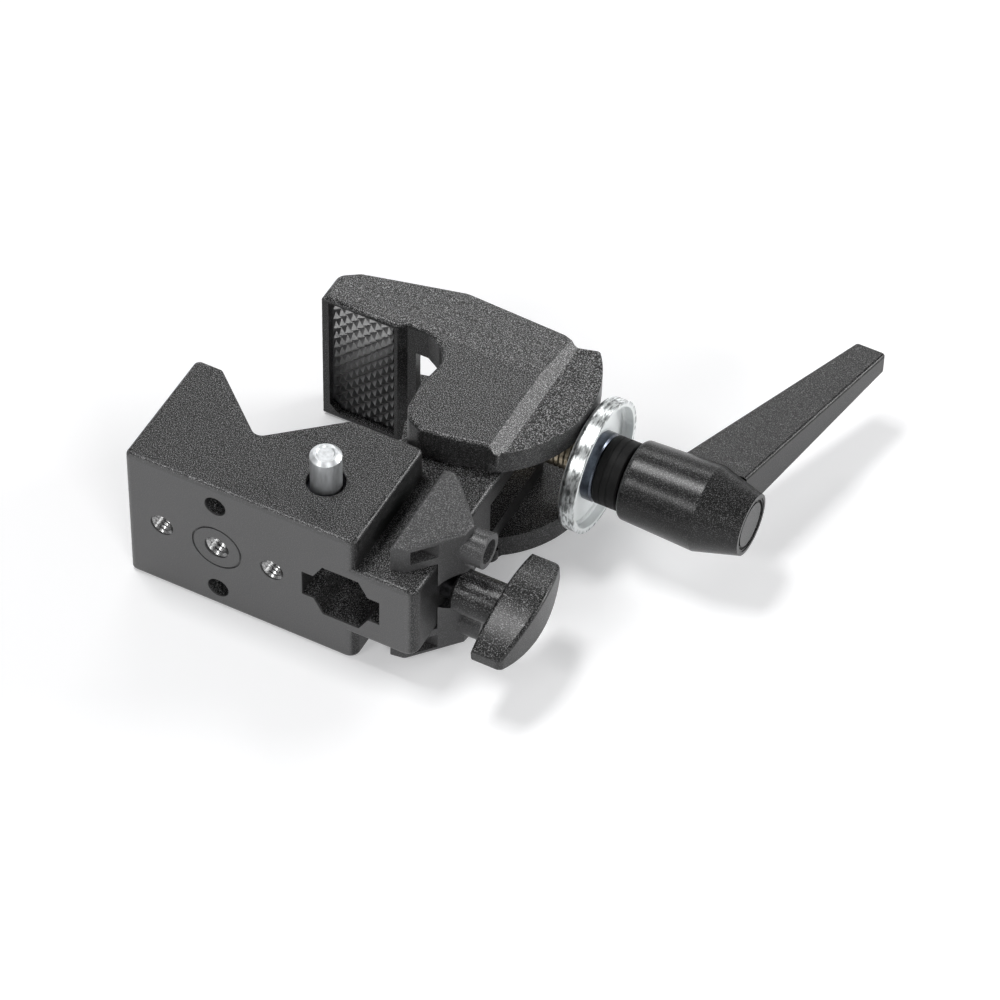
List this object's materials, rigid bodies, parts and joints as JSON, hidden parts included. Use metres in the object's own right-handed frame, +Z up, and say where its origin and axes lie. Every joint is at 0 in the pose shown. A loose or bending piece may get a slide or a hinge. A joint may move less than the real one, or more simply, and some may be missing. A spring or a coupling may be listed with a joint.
{
  "type": "super clamp",
  "caption": "Screw clamp with a V body, a swinging cam-driven jaw, a lever nut on a threaded rod, a hexagonal stud socket with a lock pin and a T-handle lock screw.",
  "frame": {"origin": "centre of the middle threaded hole, at its mouth in the front face, half-way up the body as the clamp lies on its side", "axes": "+X along the front face towards the T-handle, the threaded rod and the lever; +Y from the front face through the V towards the jaw; +Z up, along the pivot pin, out of the side that the lock pin stands on"},
  "size_m": [0.1339, 0.1258, 0.0495],
  "materials": {
    "black_casting": "black textured paint on die-cast aluminium",
    "grip_pad": "dark moulded pyramids",
    "dark_plastic": "fine moulded texture",
    "zinc_steel": "zinc plated",
    "rod_steel": "yellowish zinc",
    "black_steel": "blackened",
    "spring_steel": "plain",
    "tip_brass": "turned"
  },
  "bodies": {
    "root": {"body_casting": "black_casting", "threaded_rod": "rod_steel", "rod_cross_pin": "zinc_steel", "lock_pin_spring": "spring_steel", "lock_pin_snap_ring": "spring_steel", "wedge_insert": "dark_plastic"},
    "jaw": {"movable_jaw": "black_casting", "jaw_pad": "grip_pad", "pivot_pin": "zinc_steel"},
    "washer": {"cup_washer": "zinc_steel"},
    "hub": {"hub_nut": "black_steel", "hub_collar": "black_steel", "lever_screw": "zinc_steel", "lever_spring": "spring_steel"},
    "lever": {"lever_handle": "black_casting", "end_cap": "black_casting"},
    "lock_pin": {"lock_pin": "zinc_steel"},
    "tip": {"screw_tip": "tip_brass"},
    "t_handle": {"t_handle": "dark_plastic", "lock_screw": "black_steel"}
  },
  "joints": [
    {"name": "handle_turn", "type": "hinge", "parent": "washer", "child": "hub", "pos_m": [0.08, 0.064, 0], "axis": [-1, 0, 0], "range_deg": [-1800, 3047]},
    {"name": "washer_slide", "type": "slide", "parent": "root", "child": "washer", "axis": [-1, 0, 0], "range_m": [-0.0063, 0.0106]},
    {"name": "jaw_swing", "type": "hinge", "parent": "root", "child": "jaw", "pos_m": [0.033, 0.05, 0], "axis": [0, 0, 1], "range_deg": [-26.1, 44.1]},
    {"name": "lever_lift", "type": "slide", "parent": "hub", "child": "lever", "axis": [1, 0, 0], "range_m": [0, 0.0045], "stiffness_N_per_m": 1500, "springref_m": -0.003},
    {"name": "lock_pin_press", "type": "slide", "parent": "root", "child": "lock_pin", "axis": [0, 0, -1], "range_m": [0, 0.0055], "stiffness_N_per_m": 800, "springref_m": -0.004, "deforming": ["lock_pin_spring"]},
    {"name": "tip_slide", "type": "slide", "parent": "root", "child": "tip", "axis": [-1, 0, 0], "range_m": [-0.0051, 0.0021]},
    {"name": "lock_turn", "type": "hinge", "parent": "tip", "child": "t_handle", "pos_m": [0.06, 0.0152, 0], "axis": [-1, 0, 0], "range_deg": [-1800, 720]}
  ],
  "couplings": [
    {"joint": "washer_slide", "follows": "handle_turn", "m_per_rad": 0.00019894},
    {"joint": "jaw_swing", "follows": "handle_turn", "ratio": 0.01444},
    {"joint": "tip_slide", "follows": "lock_turn", "m_per_rad": 0.00015915}
  ]
}
